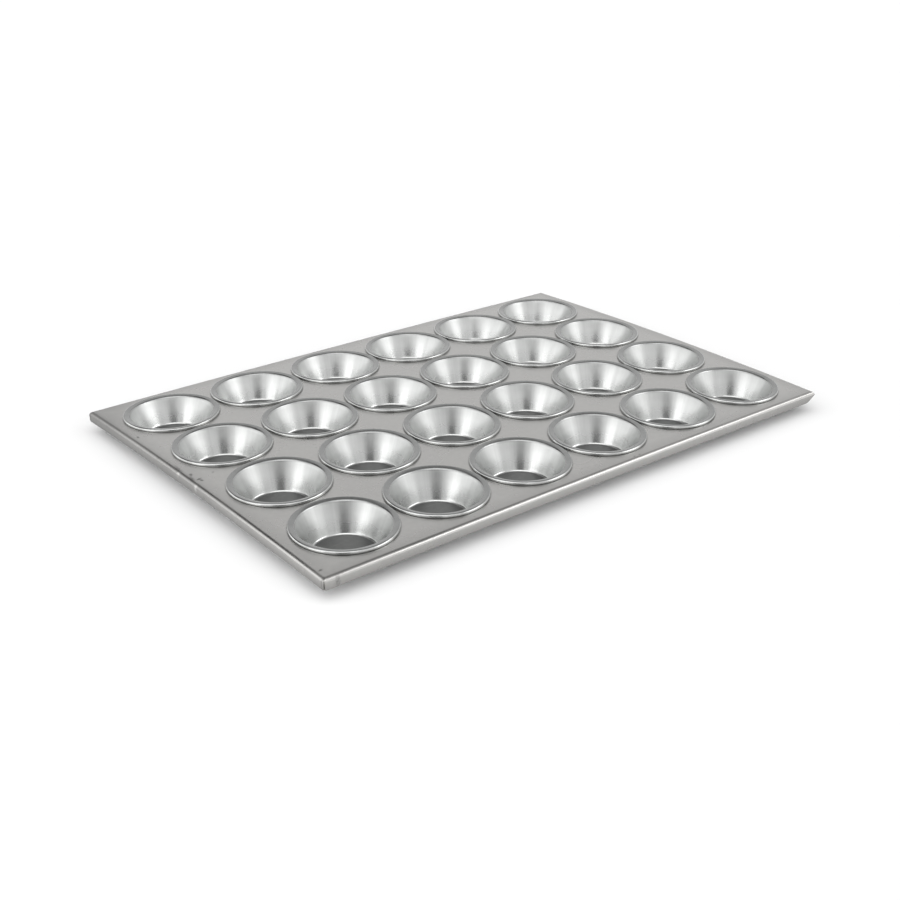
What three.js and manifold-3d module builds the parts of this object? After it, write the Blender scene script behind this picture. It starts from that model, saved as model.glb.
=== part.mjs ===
// A 24-cup commercial muffin pan: one flat sheet with folded hems, and drawn cups whose rolled rims
// are pressed down over a raised seat round each hole.
// Millimetres, +Z up, +X along the long side. The origin is under the middle of the pan, on the plane
// that the cup bottoms stand on.

import * as THREE from 'three';
import { mergeVertices } from 'three/addons/utils/BufferGeometryUtils.js';
import Module from 'manifold-3d';

// Layout: as many cups as fit along each side, spread evenly between the margins that are left outside
// the rims
const panLength = 521;
const panWidth = 360;
const endMargin = 11.25;
const sideMargin = 10.85;
const leastRimGap = 1;

// Sheet and its folded edge
const sheetThickness = 0.8;
const hemHeight = 9.5;
const hemBendRadius = 4;
const hemRollRadius = 2;
const hemReturnHeight = 4.5;
const cornerSlit = 1.2;

// How far the lower corner of the hem is clipped, along the hem and up its face, at each pan corner
const cornerClips = {
  front: { along: 1.5, up: 1.5 },
  right: { along: 12, up: 7 },
  back: { along: 3.5, up: 3.5 },
  left: { along: 3.5, up: 3.5 },
};

// Drawn cup
const mouthDiameter = 70.4;
const bottomDiameter = 50;
const cupDepth = 23;
const cupWall = 0.6;
const bottomCornerRadius = 2;
const rimDiameter = 81.5;
const rimHeight = 2.4;
const rimShoulder = 1.2;
const rimCrownWidth = 2.4;
const mouthDrop = 0.5;

// Gap left between pieces that touch on the real pan
const clearance = 0.3;

// Fineness of the facets, and how far they are turned so that none lies square to the pan's sides
const cupFacets = 18;
const facetTurn = Math.PI / 36;
const arcSteps = 3;

// Counts, pitches, levels and radii that follow from the sizes above
const columns = cupsAlong(panLength, endMargin);
const rows = cupsAlong(panWidth, sideMargin);
const columnPitch = (panLength - 2 * endMargin - rimDiameter) / (columns - 1);
const rowPitch = (panWidth - 2 * sideMargin - rimDiameter) / (rows - 1);
const rimTop = cupWall + cupDepth;
const sheetTop = rimTop - rimHeight;
const sheetUnderside = sheetTop - sheetThickness;
const hemBottom = sheetTop - hemHeight;
const mouthRadius = mouthDiameter / 2;
const rimRadius = rimDiameter / 2;
const bottomRadius = bottomDiameter / 2;
const floorLevel = cupWall;
const mouthLevel = rimTop - mouthDrop;
const neckLevel = mouthLevel - cupWall;
const wallLean = (mouthRadius - bottomRadius) / (mouthLevel - floorLevel);
const wallAcross = cupWall * Math.hypot(1, wallLean);
const holeRadius = wallRadius(neckLevel) + wallAcross + clearance;
const seatRise = neckLevel - clearance - sheetTop;
const seatRadius = rimRadius - cupWall - clearance;
const hemDepth = Math.max(2 * hemRollRadius, hemBendRadius);
const beyond = 1;

const sheetMaterial = new THREE.MeshStandardMaterial({
  name: 'satin_rolled_sheet',
  color: 0xa8a6a3,
  roughness: 0.48,
  metalness: 0.9,
});
const cupMaterial = new THREE.MeshStandardMaterial({
  name: 'bright_drawn_cup',
  color: 0xc9c9c8,
  roughness: 0.28,
  metalness: 1,
});

const wasm = await Module();
wasm.setup();

// How many rims fit in a row along a side of the pan.
function cupsAlong(side, margin) {
  return Math.floor((side - 2 * margin + leastRimGap) / (rimDiameter + leastRimGap));
}

// Inside radius of the cup's leaning wall at a level.
function wallRadius(level) {
  return bottomRadius + (level - floorLevel) * wallLean;
}

// Coordinates are rounded to this step, so that two shapes which meet share the meeting points exactly.
const gridPerMillimetre = 1024;

function toSolid(geometry) {
  const bare = geometry.clone();
  bare.deleteAttribute('normal');
  bare.deleteAttribute('uv');
  const position = bare.getAttribute('position');
  position.array.forEach((value, index) => {
    position.array[index] = Math.round(value * gridPerMillimetre) / gridPerMillimetre;
  });
  const merged = mergeVertices(bare, 0.2 / gridPerMillimetre);
  const vertProperties = new Float32Array(merged.getAttribute('position').array);
  const triVerts = new Uint32Array(merged.index.array);
  return new wasm.Manifold(new wasm.Mesh({ numProp: 3, vertProperties, triVerts }));
}

function toGeometry(solid) {
  const { vertProperties, triVerts } = solid.getMesh();
  const geometry = new THREE.BufferGeometry();
  geometry.setAttribute('position', new THREE.BufferAttribute(new Float32Array(vertProperties), 3));
  geometry.setIndex(new THREE.BufferAttribute(new Uint32Array(triVerts), 1));
  return geometry;
}

function prism(shape, bottom, top) {
  const geometry = new THREE.ExtrudeGeometry(shape, {
    depth: top - bottom,
    bevelEnabled: false,
    curveSegments: arcSteps,
  });
  return geometry.translate(0, 0, bottom);
}

function polygon(points) {
  return new THREE.Shape(points.map(([x, y]) => new THREE.Vector2(x, y)));
}

// Revolves a section of [radius, height] points about the vertical axis.
function revolve(section) {
  const points = section.map(([radius, height]) => new THREE.Vector2(radius, height));
  return new THREE.LatheGeometry(points, cupFacets, facetTurn).rotateX(Math.PI / 2);
}

// The points of a circle that match the facets of a revolved shape.
function facetCircle(x, y, radius) {
  return Array.from({ length: cupFacets }, (_, step) => {
    const turn = facetTurn + (2 * Math.PI * step) / cupFacets;
    return new THREE.Vector2(x + radius * Math.sin(turn), y - radius * Math.cos(turn));
  });
}

function cupCentres() {
  const centres = [];
  for (let row = 0; row < rows; row += 1) {
    for (let column = 0; column < columns; column += 1) {
      centres.push({
        name: `muffin_cup_row${row + 1}_column${column + 1}`,
        x: (column - (columns - 1) / 2) * columnPitch,
        y: (row - (rows - 1) / 2) * rowPitch,
      });
    }
  }
  return centres;
}

// Section across a hem: over the top fold, down the face, round the roll and up the inner leaf.
// The first coordinate is the way out from the pan's outer edge, the second is the height.
function hemSection() {
  const foldCentre = sheetTop - hemBendRadius;
  const rollCentre = hemBottom + hemRollRadius;
  const leafTop = hemBottom + hemReturnHeight;
  const quarter = Math.PI / 2;
  const section = new THREE.Shape();
  section.moveTo(-hemBendRadius, sheetTop);
  section.absarc(-hemBendRadius, foldCentre, hemBendRadius, quarter, 0, true);
  section.absarc(-hemRollRadius, rollCentre, hemRollRadius, 0, -Math.PI, true);
  section.lineTo(-2 * hemRollRadius, leafTop);
  section.lineTo(-2 * hemRollRadius + sheetThickness, leafTop);
  section.absarc(-hemRollRadius, rollCentre, hemRollRadius - sheetThickness, -Math.PI, 0, false);
  section.absarc(-hemBendRadius, foldCentre, hemBendRadius - sheetThickness, 0, quarter, false);
  section.closePath();
  return section;
}

// One hem, made on the +X side of a pan that is `reach` long from the middle to that side and `span` wide,
// and then turned to its own side. Its ends are mitred to leave the corner slit, and their lower corners
// are clipped.
function hem(reach, span, clipAtStart, clipAtEnd, quarterTurns) {
  const strip = new THREE.ExtrudeGeometry(hemSection(), {
    depth: span,
    bevelEnabled: false,
    curveSegments: arcSteps,
  });
  const across = new THREE.Vector3(1, 0, 0);
  const up = new THREE.Vector3(0, 0, 1);
  const along = new THREE.Vector3(0, -1, 0);
  strip.applyMatrix4(new THREE.Matrix4().makeBasis(across, up, along));
  strip.translate(reach, span / 2, 0);

  const end = span / 2 - cornerSlit / Math.SQRT2;
  const inner = hemDepth + beyond;
  const mitre = polygon([
    [reach + beyond, -end - beyond],
    [reach + beyond, end + beyond],
    [reach - inner, end - inner],
    [reach - inner, -end + inner],
  ]);

  const face = polygon([
    [-span / 2, sheetTop + beyond],
    [-span / 2, hemBottom + clipAtStart.up],
    [-span / 2 + clipAtStart.along, hemBottom],
    [-span / 2 + clipAtStart.along, hemBottom - beyond],
    [span / 2 - clipAtEnd.along, hemBottom - beyond],
    [span / 2 - clipAtEnd.along, hemBottom],
    [span / 2, hemBottom + clipAtEnd.up],
    [span / 2, sheetTop + beyond],
  ]);
  const faceBlock = prism(face, reach - inner, reach + beyond);
  faceBlock.applyMatrix4(new THREE.Matrix4().makeBasis(along.clone().negate(), up, across));

  const turned = (geometry) => toSolid(geometry.rotateZ((quarterTurns * Math.PI) / 2));
  return turned(strip)
    .intersect(turned(prism(mitre, hemBottom - beyond, sheetTop + beyond)))
    .intersect(turned(faceBlock));
}

// Raised seat: the sheet rises in a cone to the edge of the hole, under the cup's rim.
function seatRing(x, y) {
  const ring = revolve([
    [seatRadius, sheetUnderside],
    [seatRadius, sheetTop],
    [holeRadius, sheetTop + seatRise],
    [holeRadius, sheetUnderside + seatRise],
    [seatRadius, sheetUnderside],
  ]);
  return toSolid(ring.translate(x, y, 0));
}

function topSheet() {
  const flatX = panLength / 2 - hemBendRadius;
  const flatY = panWidth / 2 - hemBendRadius;
  const outline = polygon([
    [-flatX, -flatY],
    [flatX, -flatY],
    [flatX, flatY],
    [-flatX, flatY],
  ]);
  const centres = cupCentres();
  outline.holes = centres.map(({ x, y }) => new THREE.Path(facetCircle(x, y, seatRadius)));
  let solid = toSolid(prism(outline, sheetUnderside, sheetTop));
  centres.forEach(({ x, y }) => {
    solid = solid.add(seatRing(x, y));
  });

  const { front, right, back, left } = cornerClips;
  const halfLength = panLength / 2;
  const halfWidth = panWidth / 2;
  const hems = [
    hem(halfLength, panWidth, right, back, 0),
    hem(halfWidth, panLength, back, left, 1),
    hem(halfLength, panWidth, left, front, 2),
    hem(halfWidth, panLength, front, right, 3),
  ];
  hems.forEach((strip) => {
    solid = solid.add(strip);
  });
  return toGeometry(solid.asOriginal());
}

// Section of a cup, from the middle of its underside out, over the rim and back to the middle inside.
function cupSection() {
  const corner = bottomCornerRadius;
  const lipLevel = sheetTop + clearance;
  const lipInside = rimRadius - cupWall;
  const underRim = rimTop - cupWall;
  const crownInside = rimRadius - rimShoulder - rimCrownWidth;
  return [
    [0, 0],
    [bottomRadius + wallAcross - corner, 0],
    [wallRadius(corner) + wallAcross, corner],
    [wallRadius(neckLevel) + wallAcross, neckLevel],
    [lipInside, underRim],
    [lipInside, lipLevel],
    [rimRadius, lipLevel],
    [rimRadius, rimTop - rimShoulder],
    [rimRadius - rimShoulder, rimTop],
    [crownInside, rimTop],
    [mouthRadius, mouthLevel],
    [wallRadius(floorLevel + corner), floorLevel + corner],
    [bottomRadius - corner, floorLevel],
    [0, floorLevel],
  ];
}

function named(name, geometry, material) {
  const mesh = new THREE.Mesh(geometry, material);
  mesh.name = name;
  return mesh;
}

const pan = new THREE.Group();
pan.name = 'muffin_pan';
pan.add(named('top_sheet', topSheet(), sheetMaterial));

const cupGeometry = revolve(cupSection());
cupCentres().forEach(({ name, x, y }) => {
  const cup = named(name, cupGeometry, cupMaterial);
  cup.position.set(x, y, 0);
  pan.add(cup);
});

export default pan;
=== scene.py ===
"""A 24-cup muffin pan and the plain studio that it is shown in, laid out as a Blender add-on."""

import math
from collections import namedtuple

import bmesh
import bpy
from bpy.props import FloatProperty, FloatVectorProperty, IntProperty, PointerProperty
from mathutils import Matrix, Quaternion, Vector


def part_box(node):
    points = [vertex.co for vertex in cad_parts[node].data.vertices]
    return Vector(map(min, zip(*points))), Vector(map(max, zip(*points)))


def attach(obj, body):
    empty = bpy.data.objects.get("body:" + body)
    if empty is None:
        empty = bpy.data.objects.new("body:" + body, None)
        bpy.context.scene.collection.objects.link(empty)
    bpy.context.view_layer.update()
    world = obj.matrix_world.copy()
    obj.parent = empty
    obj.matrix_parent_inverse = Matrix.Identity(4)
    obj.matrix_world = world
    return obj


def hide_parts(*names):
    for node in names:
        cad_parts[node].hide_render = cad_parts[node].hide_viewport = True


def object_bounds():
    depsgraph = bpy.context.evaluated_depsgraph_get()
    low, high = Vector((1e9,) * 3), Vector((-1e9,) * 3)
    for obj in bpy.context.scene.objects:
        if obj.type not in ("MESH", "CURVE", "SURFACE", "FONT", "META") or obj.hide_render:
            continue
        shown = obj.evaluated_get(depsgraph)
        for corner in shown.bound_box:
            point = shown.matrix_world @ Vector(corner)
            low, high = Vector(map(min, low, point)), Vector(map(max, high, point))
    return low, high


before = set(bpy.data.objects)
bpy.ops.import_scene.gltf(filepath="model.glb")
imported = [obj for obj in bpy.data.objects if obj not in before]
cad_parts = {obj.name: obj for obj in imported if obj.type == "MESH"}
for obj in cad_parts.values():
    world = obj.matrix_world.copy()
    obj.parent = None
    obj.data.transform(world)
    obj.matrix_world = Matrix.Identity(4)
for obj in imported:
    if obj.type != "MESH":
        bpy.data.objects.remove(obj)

bl_info = {
    "name": "Muffin pan",
    "version": (1, 0, 0),
    "blender": (4, 5, 0),
    "location": "View3D > Sidebar > Muffin pan",
    "description": "Builds a muffin pan with 24 drawn cups, and a plain studio round it",
    "category": "Add Mesh",
}

MM = 0.001
UP = Vector((0.0, 0.0, 1.0))
TOUCH = 0.01 * MM

# The paper lies a hair below the cups, so that the two never share a plane
PAPER_DROP = 0.05 * MM
PAPER_SIZE = 40.0

# Edges that turn by more than this are shaded sharp
SHARP_ANGLE = math.radians(40)

# Width of the camera's sensor in millimetres, and a lamp's power for each unit of radiance and area
SENSOR_WIDTH = 36.0
LAMP_POWER = 4

# Facets of the roundings
FOLD_STEPS = 8
ROLL_STEPS = 14
SEAT_STEPS = 4
CORNER_STEPS = 6

# Noise mostly lies between these two values
NOISE_LOW, NOISE_HIGH = 0.3, 0.7

# What the frame says: the whole pan's box, the sheet's box and the middle of each cup
CAD_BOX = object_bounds()
SHEET_LOW, SHEET_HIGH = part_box("top_sheet")
RIM_TOP = CAD_BOX[1].z
HEM_BOTTOM = SHEET_LOW.z
CUP_NODES = sorted(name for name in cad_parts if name.startswith("muffin_cup"))
CUP_CENTRES = {name: sum(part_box(name), Vector()) / 2 for name in CUP_NODES}

# A soft box: where it stands, turned right from the camera and raised, and how bright its face is
SoftBox = namedtuple("SoftBox", "name turn rise distance width height radiance")
SOFT_BOXES = (
    SoftBox("light_left", -50, 16, 3.0, 1.7, 1.9, 1.15),
    SoftBox("light_far_left", -96, 14, 3.0, 2.6, 1.5, 0.75),
    SoftBox("light_right", 82, 10, 3.0, 2.3, 1.5, 0.62),
    SoftBox("light_high_right", 92, 37, 3.0, 2.0, 1.0, 2.6),
    SoftBox("light_above", -14, 65, 3.0, 3.0, 2.5, 0.95),
)

# A card that the metal mirrors: where it stands, as for a soft box, and its size
Card = namedtuple("Card", "name turn rise distance width height")
CARD_BEHIND_CAMERA = Card("card_behind_camera", 0, 16, 1.6, 0.7, 1.5)
CARD_BACK_LEFT = Card("card_back_left", -122, 42, 2.0, 1.5, 0.7)

# The card overhead hangs level: how far right of, beyond and above the aim it is, and its size
OVERHEAD_PLACE = (-0.5, 0.75, 1.5)
OVERHEAD_SIZE = (2.8, 1.3)

# Names of what the meshes store for the materials
OUTWARD_MAP = "outward"
REACH = "reach"

# A mark on the sheet, in millimetres and degrees: its place, length, width and turn, and how dark it is, or
# above
# 1 how light. Most are specks and scuffs; the rest are painted highlight and shade, as marked below
Mark = namedtuple("Mark", "x y z long wide turn shade")
MARK_DEPTH = 8 * MM
MARKS = (
    Mark(-254.5, 10.5, 21.8, 5.0, 2.6, 70, 0.4),
    Mark(-253.1, 0.1, 21.8, 4.4, 2.6, 20, 0.35),
    Mark(-252.6, -3.0, 21.8, 3.8, 2.2, 100, 0.4),
    Mark(-257.0, 26.0, 20.5, 14.0, 2.6, 85, 0.55),
    Mark(-257.2, 4.5, 20.5, 10.0, 3.0, 80, 0.55),
    Mark(-239.2, 3.9, 21.9, 4.0, 2.2, 40, 0.7),
    Mark(-255.1, -168.1, 19.7, 3.6, 2.0, 10, 0.45),
    Mark(-253.5, 101.1, 21.1, 4.4, 2.0, 80, 0.4),
    Mark(-248.8, -179.0, 14.7, 5.0, 3.0, 10, 0.6),
    Mark(36.8, -175.5, 21.2, 2.2, 1.5, 30, 0.45),
    Mark(42.7, -175.5, 21.2, 2.2, 1.5, 0, 0.45),
    # These two are painted highlights, where dents in the fold on the left catch the light
    Mark(-259.2, 21.0, 20.5, 4.0, 3.0, 80, 1.6),
    Mark(-260.0, -6.5, 20.0, 4.0, 3.0, 80, 1.6),
    # Painted shade over the back corner on the left
    Mark(-256.0, 176.0, 20.0, 130.0, 70.0, 80, 0.8),
)


def linear(colour):
    """Turns an sRGB hex colour into the linear red, green, blue and alpha that shaders use."""
    channels = [int(colour[start:start + 2], 16) / 255 for start in (0, 2, 4)]
    return tuple(c / 12.92 if c <= 0.04045 else ((c + 0.055) / 1.055) ** 2.4 for c in channels) + (1.0,)


def length_mm(label, description, millimetres):
    """A length property with a default in millimetres."""
    return FloatProperty(
        name=label, description=description, default=millimetres * MM, unit="LENGTH", precision=5
    )


def clip_mm(label, along, up):
    """A property for the slanting cut at the lower end of a hem."""
    return FloatVectorProperty(
        name=label,
        description="How far the end of the hem is cut away, along the hem and up its face",
        default=(along * MM, up * MM),
        size=2,
        unit="LENGTH",
    )


def hex_colour(label, description, value):
    """A colour property with an sRGB hex default."""
    return FloatVectorProperty(
        name=label, description=description, default=linear(value), size=4, subtype="COLOR", min=0.0, max=1.0
    )


def share(label, description, value):
    """A property for a share between nothing and all."""
    return FloatProperty(
        name=label, description=description, default=value, min=0.0, max=1.0, subtype="FACTOR"
    )


def angle_degrees(label, description, degrees):
    """An angle property with a default in degrees."""
    return FloatProperty(name=label, description=description, default=math.radians(degrees), subtype="ANGLE")


class SheetSettings(bpy.types.PropertyGroup):
    """Sizes and finish of the top sheet."""

    thickness: length_mm("Thickness", "Thickness of the sheet metal", 0.8)
    hem_height: length_mm("Hem height", "From the top of the sheet to the bottom of the hem", 9.5)
    fold_radius: length_mm("Fold radius", "Outside radius of the fold along the top edge", 3.3)
    roll_radius: length_mm("Roll radius", "Outside radius of the turned-under lower edge", 2.0)
    leaf_height: length_mm("Leaf height", "How far the inner leaf stands up from the hem's bottom", 4.5)
    corner_slit: length_mm("Corner slit", "Open gap where two hems meet", 1.2)
    front_clip: clip_mm("Front corner clip", 1.5, 1.5)
    right_clip: clip_mm("Right corner clip", 12.0, 7.0)
    back_clip: clip_mm("Back corner clip", 3.5, 3.5)
    left_clip: clip_mm("Left corner clip", 3.5, 3.5)
    seat_radius: length_mm("Seat radius", "Where the sheet starts to rise under a rim", 39.2)
    hole_radius: length_mm("Hole radius", "Radius of the hole that a cup hangs in", 36.9)
    seat_rise: length_mm("Seat rise", "How far the edge of the hole stands above the sheet", 1.0)
    colour: hex_colour("Colour", "Colour of the satin sheet", "ABAAA8")
    roughness: share("Roughness", "Roughness of the satin sheet", 0.28)
    margin_darkening: share("Margin dulling", "How bright the sheet is along its edges", 0.88)
    # Painted shade darkens the hem toward its bottom, where it mirrors the floor's shadow
    hem_shade: share("Hem dulling", "How bright the hem is at its bottom", 0.75)
    crown_across: length_mm("Crown across", "Rise of the middle, and fall of the long edges", 1.5)
    crown_along: length_mm("Crown along", "Fall from the middle to the short edges", 1.1)
    # Painted shade darkens the hem on the left from the middle to the back
    left_hem_shade: share("Left dulling", "How bright the worn hem on the left is", 0.66)
    # A painted dark line of shade along the fold on the left
    fold_shade: share("Fold shade", "How bright the grimy line along the fold on the left is", 0.75)
    long_fold_shade: share("Long fold shade", "How bright the line along the long folds is", 0.75)
    crease_shade: share("Crease shade", "How bright the sheet is in the crease round a rim", 0.75)


class CupSettings(bpy.types.PropertyGroup):
    """Sizes and finish of the drawn cups."""

    floor_radius: length_mm("Floor radius", "Radius where the wall would meet the floor", 25.0)
    mouth_radius: length_mm("Mouth radius", "Radius where the wall would meet the flange", 35.4)
    rim_radius: length_mm("Rim radius", "Outside radius of the rolled rim", 40.6)
    rim_lift: length_mm("Rim lift", "How far the rim's unrounded edge stands above the top of the frame", 0.5)
    rim_height: length_mm("Rim height", "Height of the rim's unrounded edge above the sheet", 2.9)
    depth: length_mm("Depth", "From the rim's unrounded edge to the floor", 23.5)
    wall: length_mm("Wall", "Thickness of the drawn metal", 0.6)
    mouth_drop: length_mm("Mouth drop", "How far the dished flange falls from the rim to the mouth", 1.1)
    floor_rounding: length_mm("Floor rounding", "Rounding between the wall and the floor", 1.3)
    mouth_rounding: length_mm("Mouth rounding", "Rounding over the edge of the mouth", 1.1)
    bead_rounding: length_mm("Bead rounding", "Rounding of the rolled edge", 1.9)
    lip_rounding: length_mm("Lip rounding", "Rounding under the bead", 0.35)
    lip_gap: length_mm("Lip gap", "Gap between the bead and the sheet", 0.12)
    segments: IntProperty(name="Segments", description="Facets round a cup", default=96, min=12)
    wall_rings: IntProperty(name="Wall rings", description="Facets up the wall", default=7, min=1)
    colour: hex_colour("Colour", "Colour of the bright cups", "C0C1C0")
    roughness: share("Roughness", "Roughness of the bright cups at the mouth", 0.4)
    low_roughness: share("Low roughness", "Roughness of the bright cups beside the floor", 0.2)
    floor_roughness: share("Floor roughness", "Roughness of the scratched floor", 0.5)
    flange_darkening: share("Rim dulling", "How bright the flange is beside the wall", 0.55)
    rim_smoothing: share("Rim smoothing", "How rough the rolled rim is beside the wall", 0.55)
    # Tarnish and painted shade darken the floor of each cup
    floor_tarnish_and_shade: share("Floor dulling", "How bright the floor is beside the wall", 0.36)


class StageSettings(bpy.types.PropertyGroup):
    """The camera, the floor and the light."""

    azimuth: angle_degrees("Azimuth", "Turn of the camera round the pan", -38.682)
    elevation: angle_degrees("Elevation", "Height of the camera above the horizon", 25.025)
    roll: angle_degrees("Roll", "Turn of the camera about its own axis", -0.016)
    distance: length_mm("Distance", "From the camera to the point it looks at", 1047.3)
    aim: FloatVectorProperty(
        name="Aim",
        description="Point that the camera looks at",
        default=(-71.73 * MM, -77.79 * MM, 22.15 * MM),
        subtype="TRANSLATION",
    )
    lens: FloatProperty(
        name="Lens", description="Focal length in millimetres on a 36 mm sensor", default=52.69
    )
    floor_colour: hex_colour("Floor", "Colour of the floor", "F5F5F5")
    dark_card: hex_colour("Dark card", "Colour of the card on the left", "484848")
    camera_card: hex_colour("Camera card", "Colour of the card behind the camera", "767676")
    grey_card: hex_colour("Grey card", "Colour of the card overhead", "A6A6A6")
    fill_turn: angle_degrees("Fill turn", "How far right of the camera the floor's light comes from", -7)
    fill: FloatProperty(name="Fill", description="Light that falls on the floor", default=1.14, min=0.0)


def node(tree, kind, inputs=None, **options):
    """Adds one node, sets its options, and fills or links its inputs by name or number."""
    made = tree.nodes.new(kind)
    for name, value in options.items():
        setattr(made, name, value)
    for key, value in (inputs or {}).items():
        if isinstance(value, bpy.types.NodeSocket):
            tree.links.new(value, made.inputs[key])
        else:
            made.inputs[key].default_value = value
    return made


def new_material(name):
    """An empty node material, with its tree and its output node."""
    material = bpy.data.materials.new(name)
    material.use_nodes = True
    material.node_tree.nodes.clear()
    return material, material.node_tree, material.node_tree.nodes.new("ShaderNodeOutputMaterial")


def between(tree, value, start, end, low, high):
    """A number that runs from low to high while the value runs from start to end."""
    inputs = {"Value": value, "From Min": start, "From Max": end, "To Min": low, "To Max": high}
    return node(tree, "ShaderNodeMapRange", inputs).outputs["Result"]


def joined(tree, operation, *values):
    """Several numbers joined by one operation."""
    total = values[0]
    for value in values[1:]:
        total = node(tree, "ShaderNodeMath", {0: total, 1: value}, operation=operation).outputs["Value"]
    return total


def varied(tree, noise, amount, middle=1.0):
    """A number that noise moves up and down from a middle by an amount."""
    return between(tree, noise, NOISE_LOW, NOISE_HIGH, middle - amount, middle + amount)


def apart(tree, value, place):
    """How far a number lies from a given place, on either side of it."""
    off = joined(tree, "SUBTRACT", value, place)
    return node(tree, "ShaderNodeMath", {0: off}, operation="ABSOLUTE").outputs["Value"]


def clouds(tree, place, size, dimensions="3D", detail=3.0):
    """Soft noise whose features have a given size."""
    inputs = {"Vector": place, "Scale": 1 / size, "Detail": detail}
    return node(tree, "ShaderNodeTexNoise", inputs, noise_dimensions=dimensions).outputs["Fac"]


def metal(tree, output, colour, shade, roughness, normal):
    """A metal whose colour is shaded by a number."""
    base = node(tree, "ShaderNodeHueSaturation", {"Color": tuple(colour), "Value": shade}).outputs["Color"]
    inputs = {"Base Color": base, "Metallic": 1.0, "Roughness": roughness, "Normal": normal}
    shader = node(tree, "ShaderNodeBsdfPrincipled", inputs)
    tree.links.new(shader.outputs["BSDF"], output.inputs["Surface"])


def mark_shade(tree, place, mark):
    """How dark one mark leaves the sheet: it fades out from its middle."""
    inputs = {
        "Vector": place,
        "Location": (mark.x * MM, mark.y * MM, mark.z * MM),
        "Rotation": (0.0, 0.0, math.radians(mark.turn)),
        "Scale": (mark.long * MM / 2, mark.wide * MM / 2, MARK_DEPTH / 2),
    }
    local = node(tree, "ShaderNodeMapping", inputs, vector_type="TEXTURE").outputs["Vector"]
    away = node(tree, "ShaderNodeVectorMath", {0: local}, operation="LENGTH").outputs["Value"]
    return between(tree, away, 0.5, 1.3, mark.shade, 1.0)


def past_outline(tree, place):
    """How far past the sheet's outline a point lies, and how far past its long sides: below zero inside."""
    folded = node(tree, "ShaderNodeVectorMath", {0: place}, operation="ABSOLUTE").outputs["Vector"]
    beyond = node(tree, "ShaderNodeVectorMath", {0: folded, 1: tuple(SHEET_HIGH)}, operation="SUBTRACT")
    sides = node(tree, "ShaderNodeSeparateXYZ", {0: beyond.outputs["Vector"]})
    return joined(tree, "MAXIMUM", sides.outputs["X"], sides.outputs["Y"]), sides.outputs["Y"]


def frayed_place(tree, place):
    """A place that fine noise shifts about, which gives marks and lines a ragged edge."""
    noise = node(tree, "ShaderNodeTexNoise", {"Vector": place, "Scale": 1 / (1.2 * MM)}).outputs["Color"]
    drift = node(tree, "ShaderNodeVectorMath", {0: noise, 1: (0.5, 0.5, 0.5)}, operation="SUBTRACT")
    inputs = {0: drift.outputs["Vector"], 1: (2.5 * MM, 2.5 * MM, 2.5 * MM), 2: place}
    return node(tree, "ShaderNodeVectorMath", inputs, operation="MULTIPLY_ADD").outputs["Vector"]


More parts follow.
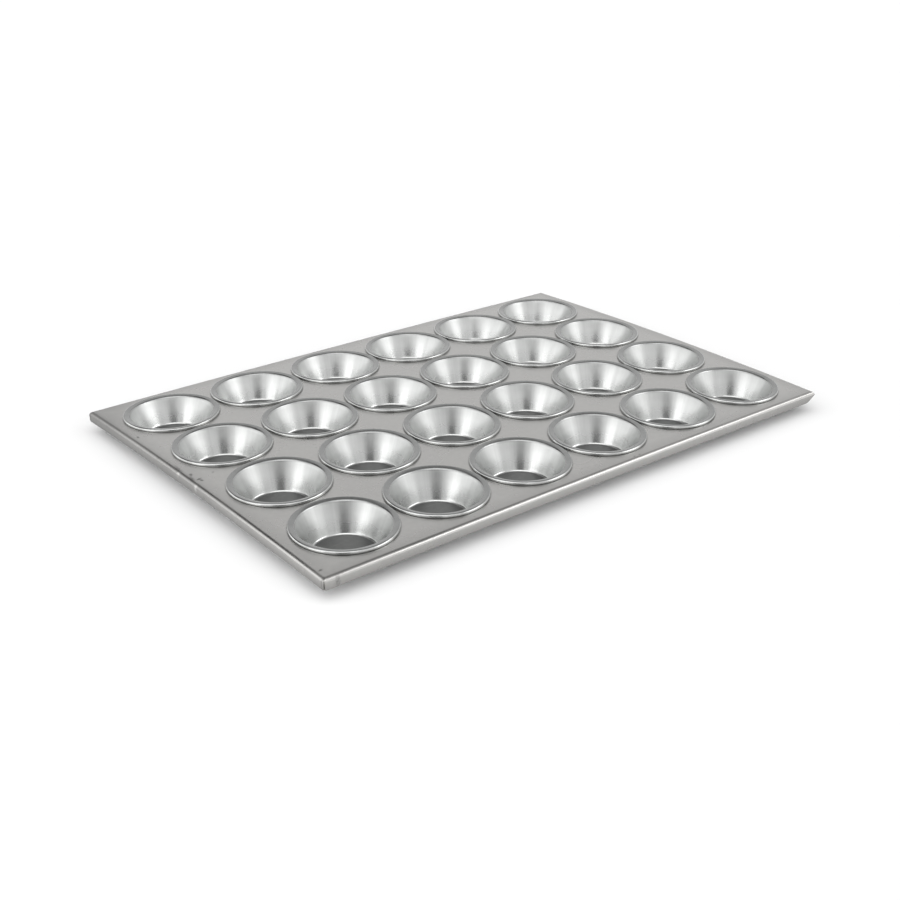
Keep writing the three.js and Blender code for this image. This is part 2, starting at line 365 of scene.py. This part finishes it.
def satin_rolled_aluminium(sheet):
    """Rolled aluminium sheet with a satin finish: an even soft grey with faint clouds and mottling, darker
    toward its edges, with painted shade down the hems, painted dark lines along the folds, painted shade in
    the creases round the rims, painted shade and a painted highlight on the hem on the left and painted shade
    at its back corner, painted highlights on two dents, and a few specks and scuffs."""
    material, tree, output = new_material("satin_rolled_aluminium")
    place = node(tree, "ShaderNodeTexCoord").outputs["Object"]
    frayed = frayed_place(tree, place)
    reach = node(tree, "ShaderNodeAttribute", attribute_name=REACH).outputs["Fac"]
    normal = node(tree, "ShaderNodeNewGeometry").outputs["Normal"]
    upward = node(tree, "ShaderNodeSeparateXYZ", {0: normal}).outputs["Z"]
    split = node(tree, "ShaderNodeSeparateXYZ", {0: place})
    along, across, height = split.outputs["X"], split.outputs["Y"], split.outputs["Z"]
    frayed_along = node(tree, "ShaderNodeSeparateXYZ", {0: frayed}).outputs["X"]
    past, past_long_side = past_outline(tree, place)

    # The margins are darker, but the hems are not. Painted shade darkens the hems toward their bottoms.
    margin = between(tree, past, -16 * MM, -5 * MM, 1.0, sheet.margin_darkening)
    on_hem = between(tree, upward, 0.4, 0.9, 1.0, 0.0)
    edges = joined(tree, "MAXIMUM", margin, on_hem)
    low_hem_shade = between(tree, height, HEM_BOTTOM, HEM_BOTTOM + 7 * MM, sheet.hem_shade, 1.0)

    # Painted shade darkens the hem on the left and the line along its fold, most from the middle to the back;
    # on that hem a painted highlight brightens the upper face and painted shade darkens the foot.
    front, middle = SHEET_LOW.y + 30 * MM, 0.0
    darkened = between(tree, across, front, middle, 1.0, sheet.left_hem_shade)
    face = between(tree, height, HEM_BOTTOM + 1 * MM, HEM_BOTTOM + 8 * MM, 0.85, 1.15)
    painted_left_hem = joined(tree, "MULTIPLY", darkened, face)
    left = between(tree, along, SHEET_LOW.x + 0.5 * MM, SHEET_LOW.x + 6 * MM, painted_left_hem, 1.0)
    painted_fold_shade = between(tree, across, front, middle, 1.0, sheet.fold_shade)
    off_left_fold = apart(tree, frayed_along, SHEET_LOW.x + 2 * MM)
    left_fold = between(tree, off_left_fold, 0.6 * MM, 1.6 * MM, painted_fold_shade, 1.0)
    # Painted shade draws a dark line along each long fold
    off_long_folds = apart(tree, past_long_side, -2.6 * MM)
    long_folds = between(tree, off_long_folds, 0.6 * MM, 1.5 * MM, sheet.long_fold_shade, 1.0)

    # Painted shade darkens the crease, in the first millimetre outside a rim.
    crease = between(tree, reach, 40.5 * MM, 41.5 * MM, sheet.crease_shade, 1.0)

    # Specks are where a random point comes close to the surface: a few in each hand's breadth.
    points = node(tree, "ShaderNodeTexVoronoi", {"Vector": place, "Scale": 1 / (16 * MM)}).outputs["Distance"]
    specks = between(tree, points, 0.02, 0.045, 0.72, 1.0)
    marks = joined(tree, "MULTIPLY", *(mark_shade(tree, frayed, mark) for mark in MARKS))

    broad = clouds(tree, place, 30 * MM)
    tone = varied(tree, broad, 0.03)
    mottle = varied(tree, clouds(tree, place, 4 * MM), 0.025)
    lines = joined(tree, "MULTIPLY", left_fold, long_folds, crease)
    shade = joined(tree, "MULTIPLY", tone, mottle, edges, low_hem_shade, left, lines, specks, marks)
    roughness = varied(tree, broad, 0.04, sheet.roughness)
    relief = node(tree, "ShaderNodeBump", {"Height": broad, "Strength": 0.3, "Distance": 0.2 * MM})
    metal(tree, output, sheet.colour, shade, roughness, relief.outputs["Normal"])
    return material


def bright_drawn_aluminium(cup):
    """Deep-drawn aluminium, bright but not polished: the draw leaves streaks up the wall and slow waves that
    bend the reflections, and use leaves soft clouds and a haze at the mouth. The wall is darker near the
    mouth and has painted shade beside the floor, tarnish and painted shade darken the scratched floor, the
    flange is darker, and rolling smooths the rim."""
    material, tree, output = new_material("bright_drawn_aluminium")
    place = node(tree, "ShaderNodeTexCoord").outputs["Object"]
    outward = node(tree, "ShaderNodeUVMap", uv_map=OUTWARD_MAP).outputs["UV"]
    reach = node(tree, "ShaderNodeAttribute", attribute_name=REACH).outputs["Fac"]

    # The map's unit is the mouth's radius: fine streaks stand 1.5 mm apart there, and broad ones 6 mm.
    fine = clouds(tree, outward, 1.5 * MM / cup.mouth_radius, "2D")
    broad = clouds(tree, outward, 6 * MM / cup.mouth_radius, "2D")
    handled = clouds(tree, place, 8 * MM)
    streaks = joined(tree, "MULTIPLY", varied(tree, fine, 0.015), varied(tree, broad, 0.04))
    tone = varied(tree, handled, 0.02)

    # The wall is darker near the mouth and has painted shade beside the floor. The flange is darker, but not
    # the rim.
    mouth, rim = cup.mouth_radius, cup.rim_radius
    mouth_darkening = between(tree, reach, mouth - 4 * MM, mouth - 1 * MM, 1.0, 0.9)
    shadowed = between(tree, reach, cup.floor_radius, cup.floor_radius + 5 * MM, 0.93, 1.0)
    inner = between(tree, reach, mouth - 0.9 * MM, mouth + 0.2 * MM, 1.0, cup.flange_darkening)
    outer = between(tree, reach, rim - 1.6 * MM, rim - 0.4 * MM, 0.0, 1.0)
    flange = joined(tree, "MAXIMUM", inner, outer)

    # The scratches on the floor are some 25 mm long and 0.7 mm wide.
    on_floor = between(tree, reach, cup.floor_radius - 1.5 * MM, cup.floor_radius - 0.8 * MM, 1.0, 0.0)
    scratch_turn = (0.0, 0.0, 0.6)
    scratch_scale = (1 / (25 * MM), 1 / (0.7 * MM), 1.0)
    inputs = {"Vector": place, "Rotation": scratch_turn, "Scale": scratch_scale}
    scratched = clouds(tree, node(tree, "ShaderNodeMapping", inputs).outputs["Vector"], 1.0)
    # Tarnish and painted shade darken the scratched floor
    scratches = between(tree, scratched, 0.6, 0.75, cup.floor_tarnish_and_shade, 1.35 * cup.floor_tarnish_and_shade)
    floor = node(tree, "ShaderNodeMix", {0: on_floor, 2: 1.0, 3: scratches}, data_type="FLOAT").outputs[0]

    shade = joined(tree, "MULTIPLY", streaks, tone, mouth_darkening, shadowed, flange, floor)
    dullness = varied(tree, handled, 0.07)
    rubbed = between(tree, reach, cup.floor_radius, mouth, cup.low_roughness, cup.roughness)
    bead = between(tree, reach, mouth - 1 * MM, mouth + 0.5 * MM, 1.0, cup.rim_smoothing)
    smooth = joined(tree, "MULTIPLY", dullness, rubbed, bead)
    roughness = joined(tree, "MAXIMUM", smooth, joined(tree, "MULTIPLY", on_floor, cup.floor_roughness))
    dents = clouds(tree, place, 16 * MM, detail=0.5)
    waves = node(tree, "ShaderNodeBump", {"Height": dents, "Strength": 1.0, "Distance": 0.13 * MM})
    inputs = {"Height": fine, "Strength": 0.06, "Distance": 0.05 * MM, "Normal": waves.outputs["Normal"]}
    relief = node(tree, "ShaderNodeBump", inputs)
    metal(tree, output, cup.colour, shade, roughness, relief.outputs["Normal"])
    return material


def seamless_paper(stage):
    """Matt white studio paper that takes the pan's soft shadow. It is clear from below, and reflections pass
    through it under the pan, so that the underside can be looked at and mirrors the white studio."""
    material, tree, output = new_material("seamless_paper")
    paper = node(tree, "ShaderNodeBsdfDiffuse", {"Color": tuple(stage.floor_colour)})
    clear = node(tree, "ShaderNodeBsdfTransparent")
    behind = node(tree, "ShaderNodeNewGeometry").outputs["Backfacing"]
    path = node(tree, "ShaderNodeLightPath")
    straight = joined(tree, "LESS_THAN", path.outputs["Diffuse Depth"], 0.5)
    mirrored = joined(tree, "MULTIPLY", path.outputs["Is Glossy Ray"], straight)
    past = past_outline(tree, node(tree, "ShaderNodeTexCoord").outputs["Object"])[0]

    # The pan covers the paper from about 10 mm inside the sheet's outline.
    under = between(tree, past, -14 * MM, -10 * MM, 1.0, 0.0)
    unseen = joined(tree, "MAXIMUM", behind, joined(tree, "MULTIPLY", under, mirrored))
    mixed = node(tree, "ShaderNodeMixShader", {0: unseen, 1: paper.outputs["BSDF"], 2: clear.outputs["BSDF"]})
    tree.links.new(mixed.outputs["Shader"], output.inputs["Surface"])
    return material


def studio_card(name, colour):
    """Plain studio card, seen only as a reflection in the metal."""
    material, tree, output = new_material(name)
    shade = node(tree, "ShaderNodeEmission", {"Color": tuple(colour), "Strength": 1.0})
    tree.links.new(shade.outputs["Emission"], output.inputs["Surface"])
    return material


def new_object(name, bm, material):
    """Makes an object at the origin from a bmesh, shaded smooth except at sharp edges."""
    mesh = bpy.data.meshes.new(name)
    bm.to_mesh(mesh)
    bm.free()
    mesh.materials.append(material)
    mesh.shade_smooth()
    mesh.set_sharp_from_angle(angle=SHARP_ANGLE)
    made = bpy.data.objects.new(name, mesh)
    bpy.context.scene.collection.objects.link(made)
    return made


def arc(centre, radius, start, end, steps):
    """Points on an arc, with angles in degrees, leaving out the first."""
    turns = [math.radians(start + (end - start) * step / steps) for step in range(1, steps + 1)]
    return [(centre[0] + radius * math.cos(turn), centre[1] + radius * math.sin(turn)) for turn in turns]


def extrude_border(bm, edges):
    """Extrudes border edges and returns the new edges and their vertices."""
    made = bmesh.ops.extrude_edge_only(bm, edges=edges)["geom"]
    verts = {part for part in made if isinstance(part, bmesh.types.BMVert)}
    fresh = [part for part in made if isinstance(part, bmesh.types.BMEdge) and verts.issuperset(part.verts)]
    return fresh, list(verts)


def side_edges(bm, way, reach):
    """The border edges of the flat sheet that lie at one reach from the middle."""
    return [
        edge
        for edge in bm.edges
        if edge.is_boundary and all(abs(vert.co.dot(way) - reach) < TOUCH for vert in edge.verts)
    ]


def sheet_cell(bm, sheet, pitch, level, segments):
    """One cup's share of the sheet, round the origin: a rectangle with a hole that rises to a seat."""
    raised = Matrix.Translation((0.0, 0.0, level))
    cell = raised @ Matrix.Diagonal((pitch.x, pitch.y, 1.0, 1.0))
    bmesh.ops.create_grid(bm, x_segments=1, y_segments=1, size=0.5, matrix=cell)
    bmesh.ops.delete(bm, geom=bm.faces[:], context="FACES_ONLY")
    bmesh.ops.subdivide_edges(bm, edges=bm.edges[:], cuts=segments // 4 - 1)
    outer = set(bm.edges)
    bmesh.ops.create_circle(bm, segments=segments, radius=sheet.seat_radius + sheet.thickness, matrix=raised)
    ring = [edge for edge in bm.edges if edge not in outer]
    bmesh.ops.bridge_loops(bm, edges=list(outer) + ring)
    for step in range(SEAT_STEPS + 1):
        done = step / SEAT_STEPS
        ring, verts = extrude_border(bm, ring)
        radius = sheet.seat_radius + (sheet.hole_radius - sheet.seat_radius) * done
        rise = sheet.seat_rise * done * done * (3 - 2 * done)
        for vert in verts:
            vert.co = vert.co.xy.normalized().to_3d() * radius + UP * (level + rise)


def hem_section(sheet):
    """The hem's section from the edge of the flat sheet: how far out and how far down each point lies."""
    out = sheet.fold_radius - sheet.roll_radius
    down = sheet.hem_height - sheet.roll_radius
    fold = arc((0.0, sheet.fold_radius), sheet.fold_radius, -90, 0, FOLD_STEPS)
    roll = arc((out, down), sheet.roll_radius, 0, 180, ROLL_STEPS)
    leaf = (out - sheet.roll_radius, sheet.hem_height - sheet.leaf_height)
    return fold + [(sheet.fold_radius, down)] + roll + [leaf]


def fold_hem(bm, sheet, way, reach, span, level, clips):
    """Folds one side of the sheet down into its hem, and clips the lower corners of its two ends."""
    along = UP.cross(way)
    gap = sheet.corner_slit / math.sqrt(2)
    edges = side_edges(bm, way, reach)
    before = set(bm.faces)
    for out, down in hem_section(sheet):
        edges, verts = extrude_border(bm, edges)
        end = span + out - gap * min(1.0, down / sheet.fold_radius)
        places = sorted(vert.co.dot(along) for vert in verts)
        for vert in verts:
            place = vert.co.dot(along)
            if place in (places[0], places[-1]):
                place = math.copysign(end, place)
            vert.co = way * (reach + out) + along * place + UP * (level - down)
    corner = span + sheet.fold_radius
    for side, (cut_along, cut_up) in zip((-1, 1), clips):
        faces = [face for face in bm.faces if face not in before]
        edges = {edge for face in faces for edge in face.edges}
        verts = {vert for face in faces for vert in face.verts}
        slope = (along * side * cut_up - UP * cut_along).normalized()
        bottom = level - sheet.hem_height
        bmesh.ops.bisect_plane(
            bm,
            geom=list(verts) + list(edges) + faces,
            plane_co=along * side * (corner - cut_along) + UP * bottom,
            plane_no=slope,
            clear_outer=True,
        )


def grid_lines(axis):
    """The different places of the cups along one axis."""
    places = []
    for centre in sorted(CUP_CENTRES.values(), key=lambda point: point[axis]):
        if not places or centre[axis] - places[-1] > TOUCH:
            places.append(centre[axis])
    return places


def bend(sheet, place):
    """How far the sheet, which is slightly crowned, stands above or below its level at one place."""
    across = 1 - 2 * (place.y / SHEET_HIGH.y) ** 2
    along = 1 / 3 - (place.x / SHEET_HIGH.x) ** 2
    return sheet.crown_across * across + sheet.crown_along * along


def lift(sheet):
    """How far the crowned sheet is lifted so that its lowest cups rest on the floor."""
    return -min(bend(sheet, centre) for centre in CUP_CENTRES.values())


def top_sheet(sheet, segments):
    """The sheet: a cell for each cup, margins all round, and a hem on each side."""
    level = HEM_BOTTOM + sheet.hem_height
    columns, rows = grid_lines(0), grid_lines(1)
    pitch = Vector((columns[1] - columns[0], rows[1] - rows[0], 0.0))
    bm = bmesh.new()
    sheet_cell(bm, sheet, pitch, level, segments)
    cell = bm.verts[:] + bm.edges[:] + bm.faces[:]
    first = bm.verts[:]
    for centre in CUP_CENTRES.values():
        copied = bmesh.ops.duplicate(bm, geom=cell)["geom"]
        moved = [part for part in copied if isinstance(part, bmesh.types.BMVert)]
        bmesh.ops.translate(bm, verts=moved, vec=centre * Vector((1.0, 1.0, 0.0)))
    bmesh.ops.delete(bm, geom=first, context="VERTS")
    bmesh.ops.remove_doubles(bm, verts=bm.verts[:], dist=TOUCH)

    flat = Vector((SHEET_HIGH.x - sheet.fold_radius, SHEET_HIGH.y - sheet.fold_radius, 0.0))
    inner = Vector((columns[-1] + pitch.x / 2, rows[-1] + pitch.y / 2, 0.0))
    ways = (Vector((1, 0, 0)), Vector((-1, 0, 0)), Vector((0, 1, 0)), Vector((0, -1, 0)))
    for way in ways:
        reach = abs(inner.dot(way))
        edge = abs(flat.dot(way))
        for stop in (edge - 2 * sheet.thickness, edge):
            _, verts = extrude_border(bm, side_edges(bm, way, reach))
            bmesh.ops.translate(bm, verts=verts, vec=way * (stop - reach))
            reach = stop
    clips = {
        (1, 0): (sheet.right_clip, sheet.back_clip),
        (-1, 0): (sheet.left_clip, sheet.front_clip),
        (0, 1): (sheet.back_clip, sheet.left_clip),
        (0, -1): (sheet.front_clip, sheet.right_clip),
    }
    for way in ways:
        reach = abs(flat.dot(way))
        span = abs(flat.dot(UP.cross(way)))
        fold_hem(bm, sheet, way, reach, span, level, clips[int(way.x), int(way.y)])
    bmesh.ops.recalc_face_normals(bm, faces=bm.faces[:])
    if max(bm.faces, key=lambda face: face.calc_area()).normal.z < 0:
        bmesh.ops.reverse_faces(bm, faces=bm.faces[:])
    bmesh.ops.solidify(bm, geom=bm.faces[:], thickness=sheet.thickness)
    store_reach(bm, CUP_CENTRES.values())
    raised = lift(sheet)
    for vert in bm.verts:
        vert.co.z += raised + bend(sheet, vert.co)
    return bm


def ring_edges(bm, radius, height):
    """The edges of the circle that one corner of a section was spun into."""
    def on_ring(vert):
        return abs(vert.co.xy.length - radius) < TOUCH and abs(vert.co.z - height) < TOUCH

    return [edge for edge in bm.edges if all(on_ring(vert) for vert in edge.verts)]


def drawn_cup(cup):
    """A cup round the origin: its section is spun, the corners are rounded and the wall is thickened."""
    top = RIM_TOP + cup.rim_lift
    floor = top - cup.depth
    mouth = top - cup.mouth_drop
    lip = top - cup.rim_height + cup.lip_gap
    corners = [
        (cup.floor_radius, floor, cup.floor_rounding),
        (cup.mouth_radius, mouth, cup.mouth_rounding),
        (cup.rim_radius, top, cup.bead_rounding),
        (cup.rim_radius, lip, cup.lip_rounding),
    ]
    bends = [Vector((radius, height)) for radius, height, _ in corners]
    wall = [bends[0].lerp(bends[1], ring / cup.wall_rings) for ring in range(1, cup.wall_rings)]
    middle = Vector((0.0, floor))
    lip_edge = Vector((cup.rim_radius - 1.5 * cup.lip_rounding, lip))
    section = [middle, bends[0]] + wall + bends[1:] + [lip_edge]
    bm = bmesh.new()
    verts = [bm.verts.new((radius, 0.0, height)) for radius, height in section]
    edges = [bm.edges.new(pair) for pair in zip(verts, verts[1:])]
    bmesh.ops.spin(
        bm, geom=verts + edges, cent=(0, 0, 0), axis=UP, angle=2 * math.pi, steps=cup.segments, use_merge=True
    )
    bmesh.ops.remove_doubles(bm, verts=bm.verts[:], dist=TOUCH)
    for radius, height, rounding in corners:
        bmesh.ops.bevel(
            bm,
            geom=ring_edges(bm, radius, height),
            offset=rounding,
            offset_type="OFFSET",
            segments=CORNER_STEPS,
            profile=0.5,
            affect="EDGES",
            clamp_overlap=True,
            material=-1,
        )
    bmesh.ops.recalc_face_normals(bm, faces=bm.faces[:])
    floor_face = min(bm.faces, key=lambda face: face.calc_center_median().length)
    if floor_face.normal.z < 0:
        bmesh.ops.reverse_faces(bm, faces=bm.faces[:])
    bmesh.ops.solidify(bm, geom=bm.faces[:], thickness=cup.wall)
    return bm


def store_reach(bm, centres):
    """Stores how far each vertex lies from the axis of the nearest cup."""
    reach = bm.verts.layers.float.new(REACH)
    for vert in bm.verts:
        vert[reach] = min((vert.co.xy - centre.xy).length for centre in centres)


def map_outward(bm, patch):
    """Stores the way out from the cup's axis as a UV map, so that streaks run up the wall with no seam.
    Each cup has its own patch of the map."""
    layer = bm.loops.layers.uv.new(OUTWARD_MAP)
    for face in bm.faces:
        for loop in face.loops:
            way = loop.vert.co.xy
            loop[layer].uv = (way.normalized() if way.length > TOUCH else way) + patch


def seat_cup(bm, sheet, centre):
    """Lifts a cup to the crowned sheet: the floor stays level, and the rim follows the sheet."""
    raised, middle = lift(sheet), bend(sheet, centre)
    for vert in bm.verts:
        share_up = vert.co.z / RIM_TOP
        vert.co.z += raised + middle + (bend(sheet, vert.co) - middle) * share_up


def studio_point(stage, turn, rise, distance):
    """A point that lies so many degrees to the right of the camera and above the horizon, from the aim."""
    turned = stage.azimuth + math.radians(turn)
    raised = math.radians(rise)
    flat = math.cos(raised)
    way = Vector((math.sin(turned) * flat, -math.cos(turned) * flat, math.sin(raised)))
    return Vector(stage.aim) + way * distance


def facing(point, target):
    """The turn that points an object's -Z axis from one point to another."""
    return (Vector(target) - point).to_track_quat("-Z", "Y")


def add_camera(stage):
    """Puts the camera where the picture was taken from."""
    data = bpy.data.cameras.new("camera")
    data.lens = stage.lens
    data.sensor_width = SENSOR_WIDTH
    made = bpy.data.objects.new("camera", data)
    made.location = studio_point(stage, 0.0, math.degrees(stage.elevation), stage.distance)
    made.rotation_mode = "QUATERNION"
    made.rotation_quaternion = facing(made.location, stage.aim) @ Quaternion((0.0, 0.0, 1.0), stage.roll)
    bpy.context.scene.collection.objects.link(made)
    bpy.context.scene.camera = made


def add_soft_box(stage, box):
    """One large soft light that the metal reflects."""
    data = bpy.data.lights.new(box.name, "AREA")
    data.shape = "RECTANGLE"
    data.size = box.width
    data.size_y = box.height
    data.energy = LAMP_POWER * box.radiance * box.width * box.height
    made = bpy.data.objects.new(box.name, data)
    made.location = studio_point(stage, box.turn, box.rise, box.distance)
    made.rotation_mode = "QUATERNION"
    made.rotation_quaternion = facing(made.location, stage.aim)
    made.visible_camera = False
    made.visible_diffuse = False
    bpy.context.scene.collection.objects.link(made)


def add_plane(name, material, place):
    """A flat stage piece: a unit square that a matrix puts in place."""
    bm = bmesh.new()
    bmesh.ops.create_grid(bm, x_segments=1, y_segments=1, size=0.5, matrix=place)
    made = new_object(name, bm, material)
    return made


def standing(stage, card):
    """Where a card stands that faces the pan."""
    point = studio_point(stage, card.turn, card.rise, card.distance)
    return Matrix.Translation(point) @ facing(point, stage.aim).to_matrix().to_4x4()


def overhead(stage):
    """Where the card overhead hangs: level, square to the camera, and set back to the left."""
    square = Matrix.Rotation(stage.azimuth, 4, "Z")
    return Matrix.Translation(stage.aim) @ square @ Matrix.Translation(OVERHEAD_PLACE)


def add_card(name, material, place, width, height):
    """A plain card that only reflections see."""
    card = add_plane(name, material, place @ Matrix.Diagonal((width, height, 1.0, 1.0)))
    card.visible_camera = False
    card.visible_diffuse = False
    card.visible_shadow = False


def light_world(stage):
    """White all round for the camera and for reflections. The floor is lit most from the camera's left."""
    world = bpy.data.worlds.new("studio")
    world.use_nodes = True
    tree = world.node_tree
    tree.nodes.clear()
    path = node(tree, "ShaderNodeLightPath").outputs
    seen = joined(tree, "MAXIMUM", path["Is Camera Ray"], path["Is Glossy Ray"], path["Is Transmission Ray"])
    turned = stage.azimuth + stage.fill_turn
    front = (math.sin(turned), -math.cos(turned), 0.0)
    way = node(tree, "ShaderNodeTexCoord").outputs["Generated"]
    toward = node(tree, "ShaderNodeVectorMath", {0: way, 1: front}, operation="DOT_PRODUCT").outputs["Value"]

    # The fill is strongest from the camera's side, and weakest from beyond the pan.
    weakest, strongest = 0.2 * stage.fill, 1.8 * stage.fill
    fill = between(tree, toward, -0.4, 0.4, weakest, strongest)
    strength = node(tree, "ShaderNodeMix", {0: seen, 2: fill, 3: 1.0}, data_type="FLOAT").outputs[0]
    white = (1.0, 1.0, 1.0, 1.0)
    background = node(tree, "ShaderNodeBackground", {"Color": white, "Strength": strength})
    output = node(tree, "ShaderNodeOutputWorld", {"Surface": background.outputs["Background"]})
    output.is_active_output = True
    bpy.context.scene.world = world


class MUFFINPAN_OT_top_sheet(bpy.types.Operator):
    """Build the satin top sheet with its holes and folded hems"""

    bl_idname = "muffinpan.top_sheet"
    bl_label = "Top sheet"

    def execute(self, context):
        sheet = context.scene.muffin_pan_sheet
        segments = context.scene.muffin_pan_cup.segments
        piece = new_object("satin_top_sheet", top_sheet(sheet, segments), satin_rolled_aluminium(sheet))
        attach(piece, "root")
        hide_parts("top_sheet")
        return {"FINISHED"}


class MUFFINPAN_OT_cups(bpy.types.Operator):
    """Build the bright drawn cups, one in each hole"""

    bl_idname = "muffinpan.cups"
    bl_label = "Cups"

    def execute(self, context):
        sheet = context.scene.muffin_pan_sheet
        cup = context.scene.muffin_pan_cup
        material = bright_drawn_aluminium(cup)
        pattern = drawn_cup(cup)
        store_reach(pattern, [Vector()])
        patch_step = 3.0
        for number, name in enumerate(CUP_NODES):
            bm = pattern.copy()
            map_outward(bm, Vector((number * patch_step, 0.0)))
            bmesh.ops.translate(bm, verts=bm.verts[:], vec=CUP_CENTRES[name] * Vector((1.0, 1.0, 0.0)))
            seat_cup(bm, sheet, CUP_CENTRES[name])
            piece = new_object(name.replace("muffin_cup", "bright_cup"), bm, material)
            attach(piece, "root")
            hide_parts(name)
        pattern.free()
        return {"FINISHED"}


class MUFFINPAN_OT_stage(bpy.types.Operator):
    """Set up the camera, the floor, the soft boxes and the cards"""

    bl_idname = "muffinpan.stage"
    bl_label = "Stage"

    def execute(self, context):
        stage = context.scene.muffin_pan_stage
        add_camera(stage)
        below = Matrix.Translation((0.0, 0.0, -PAPER_DROP))
        add_plane("floor", seamless_paper(stage), below @ Matrix.Diagonal((PAPER_SIZE, PAPER_SIZE, 1.0, 1.0)))
        camera = studio_card("camera_card", stage.camera_card)
        dark = studio_card("dark_card", stage.dark_card)
        grey = studio_card("grey_card", stage.grey_card)
        for card, material in ((CARD_BEHIND_CAMERA, camera), (CARD_BACK_LEFT, dark)):
            add_card(card.name, material, standing(stage, card), card.width, card.height)
        add_card("card_overhead", grey, overhead(stage), *OVERHEAD_SIZE)
        for box in SOFT_BOXES:
            add_soft_box(stage, box)
        light_world(stage)
        context.scene.view_settings.view_transform = "Standard"
        return {"FINISHED"}


class MUFFINPAN_PT_panel(bpy.types.Panel):
    """Sizes, finishes and build steps of the muffin pan"""

    bl_idname = "MUFFINPAN_PT_panel"
    bl_label = "Muffin pan"
    bl_space_type = "VIEW_3D"
    bl_region_type = "UI"
    bl_category = "Muffin pan"

    def draw(self, context):
        steps = (
            (MUFFINPAN_OT_top_sheet, context.scene.muffin_pan_sheet),
            (MUFFINPAN_OT_cups, context.scene.muffin_pan_cup),
            (MUFFINPAN_OT_stage, context.scene.muffin_pan_stage),
        )
        for operator, settings in steps:
            box = self.layout.box()
            for name in settings.__annotations__:
                box.prop(settings, name)
            box.operator(operator.bl_idname)


CLASSES = (
    SheetSettings,
    CupSettings,
    StageSettings,
    MUFFINPAN_OT_top_sheet,
    MUFFINPAN_OT_cups,
    MUFFINPAN_OT_stage,
    MUFFINPAN_PT_panel,
)


def register():
    for each in CLASSES:
        bpy.utils.register_class(each)
    bpy.types.Scene.muffin_pan_sheet = PointerProperty(type=SheetSettings)
    bpy.types.Scene.muffin_pan_cup = PointerProperty(type=CupSettings)
    bpy.types.Scene.muffin_pan_stage = PointerProperty(type=StageSettings)


def unregister():
    del bpy.types.Scene.muffin_pan_stage
    del bpy.types.Scene.muffin_pan_cup
    del bpy.types.Scene.muffin_pan_sheet
    for each in reversed(CLASSES):
        bpy.utils.unregister_class(each)


def main():
    register()
    bpy.ops.muffinpan.stage()
    bpy.ops.muffinpan.top_sheet()
    bpy.ops.muffinpan.cups()


if __name__ == "__main__":
    main()
